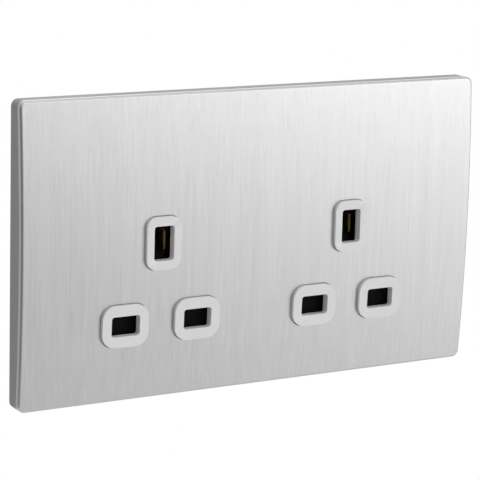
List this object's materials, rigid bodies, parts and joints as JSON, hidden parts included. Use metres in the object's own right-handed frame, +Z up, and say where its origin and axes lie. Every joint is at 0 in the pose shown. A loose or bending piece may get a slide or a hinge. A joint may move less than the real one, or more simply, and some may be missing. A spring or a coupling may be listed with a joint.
{
  "type": "twin wall socket",
  "caption": "Twin three-pin wall socket with a bowed brushed steel clip-on plate, shuttered pin entries, spring contacts and screw terminals in a rear tray.",
  "frame": {"origin": "midway between the two fixing holes, on the wall plane", "axes": "+X to the right seen from the front, +Y into the wall, +Z up"},
  "size_m": [0.144, 0.0287, 0.0846],
  "materials": {
    "brushed_steel": "vertically brushed stainless steel",
    "carrier_plastic": "silver-grey moulded plastic",
    "white_plastic": "white moulded urea",
    "housing_plastic": "white moulded plastic",
    "black_plastic": "black moulded plastic",
    "zinc_steel": "zinc-plated pressed steel",
    "spring_steel": "bright spring wire",
    "screw_steel": "zinc-plated steel",
    "brass": "rolled brass",
    "copper": "soft copper strip"
  },
  "bodies": {
    "socket": {"faceplate_skin": "brushed_steel", "faceplate_carrier": "carrier_plastic", "front_moulding": "white_plastic", "mounting_frame": "zinc_steel", "rear_housing": "housing_plastic", "live_busbar": "brass", "neutral_busbar": "brass", "earth_busbar": "brass", "frame_earth_strap": "copper", "assembly_screws": "screw_steel", "left_shutter_guide": "black_plastic", "left_shutter_spring": "spring_steel", "left_earth_contact": "brass", "left_neutral_contact": "brass", "left_live_contact": "brass", "right_shutter_guide": "black_plastic", "right_shutter_spring": "spring_steel", "right_earth_contact": "brass", "right_neutral_contact": "brass", "right_live_contact": "brass", "live_terminal": "brass", "neutral_terminal": "brass", "left_earth_terminal": "brass", "right_earth_terminal": "brass"},
    "left_shutter_body": {"left_shutter": "black_plastic"},
    "right_shutter_body": {"right_shutter": "black_plastic"},
    "live_terminal_screw_body": {"live_terminal_screw": "screw_steel"},
    "neutral_terminal_screw_body": {"neutral_terminal_screw": "screw_steel"},
    "left_earth_terminal_screw_body": {"left_earth_terminal_screw": "screw_steel"},
    "right_earth_terminal_screw_body": {"right_earth_terminal_screw": "screw_steel"}
  },
  "joints": [
    {"name": "left_shutter_slide", "type": "slide", "parent": "socket", "child": "left_shutter_body", "axis": [0, 0, -1], "range_m": [0, 0.006], "stiffness_N_per_m": 120, "springref_m": -0.004, "deforming": ["left_shutter_spring"]},
    {"name": "right_shutter_slide", "type": "slide", "parent": "socket", "child": "right_shutter_body", "axis": [0, 0, -1], "range_m": [0, 0.006], "stiffness_N_per_m": 120, "springref_m": -0.004, "deforming": ["right_shutter_spring"]},
    {"name": "live_terminal_clamp", "type": "slide", "parent": "socket", "child": "live_terminal_screw_body", "axis": [0, -1, 0], "range_m": [0, 0.0032]},
    {"name": "neutral_terminal_clamp", "type": "slide", "parent": "socket", "child": "neutral_terminal_screw_body", "axis": [0, -1, 0], "range_m": [0, 0.0032]},
    {"name": "left_earth_terminal_clamp", "type": "slide", "parent": "socket", "child": "left_earth_terminal_screw_body", "axis": [0, -1, 0], "range_m": [0, 0.0032]},
    {"name": "right_earth_terminal_clamp", "type": "slide", "parent": "socket", "child": "right_earth_terminal_screw_body", "axis": [0, -1, 0], "range_m": [0, 0.0032]}
  ]
}
